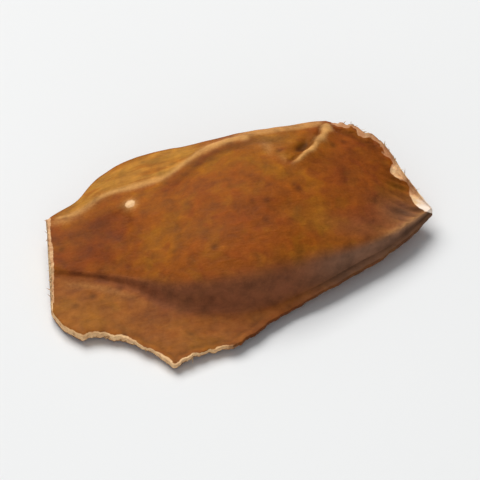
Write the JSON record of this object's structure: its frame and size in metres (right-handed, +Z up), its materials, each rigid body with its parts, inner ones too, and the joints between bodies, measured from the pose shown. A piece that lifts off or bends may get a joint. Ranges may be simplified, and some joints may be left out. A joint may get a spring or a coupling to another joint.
{
  "type": "mahogany seed",
  "caption": "Dewinged mahogany seed: wedge-like brown body with a domed face, a steep front wall, a thin ragged flange and torn pale ends; lies flat.",
  "frame": {"origin": "middle of the seed's box in plan, on the ground plane under the flat spot of its belly", "axes": "+X along the seed towards its sharp tip, +Y towards the thick back, +Z up, out of the domed face"},
  "size_m": [0.0326, 0.0212, 0.0069],
  "materials": {
    "seed_coat": "dull satin, mottled, with pale corky torn edges"
  },
  "bodies": {
    "root": {"seed": "seed_coat"}
  },
  "joints": []
}
